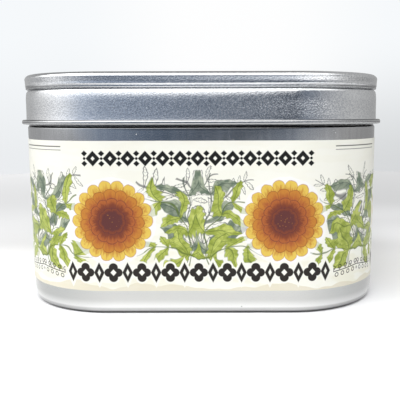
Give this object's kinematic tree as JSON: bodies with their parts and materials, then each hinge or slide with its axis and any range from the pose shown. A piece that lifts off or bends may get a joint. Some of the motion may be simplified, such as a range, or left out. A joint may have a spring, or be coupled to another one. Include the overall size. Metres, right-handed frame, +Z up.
{
  "type": "square slip-lid tin",
  "caption": "Closed square tinplate tin with rounded corners, a grooved slip lid with a rolled hem, and a printed paper label wrapped round its body.",
  "frame": {"origin": "middle of the base, on the surface that the tin stands on", "axes": "+Z up, -Y out of the label's front, +X to the right as the front is seen"},
  "size_m": [0.1082, 0.1082, 0.066],
  "materials": {
    "body_tinplate": "satin",
    "lid_tinplate": "satin",
    "label_paper": "satin"
  },
  "bodies": {
    "root": {"tin_body": "body_tinplate", "lid": "lid_tinplate", "label": "label_paper"}
  },
  "joints": []
}
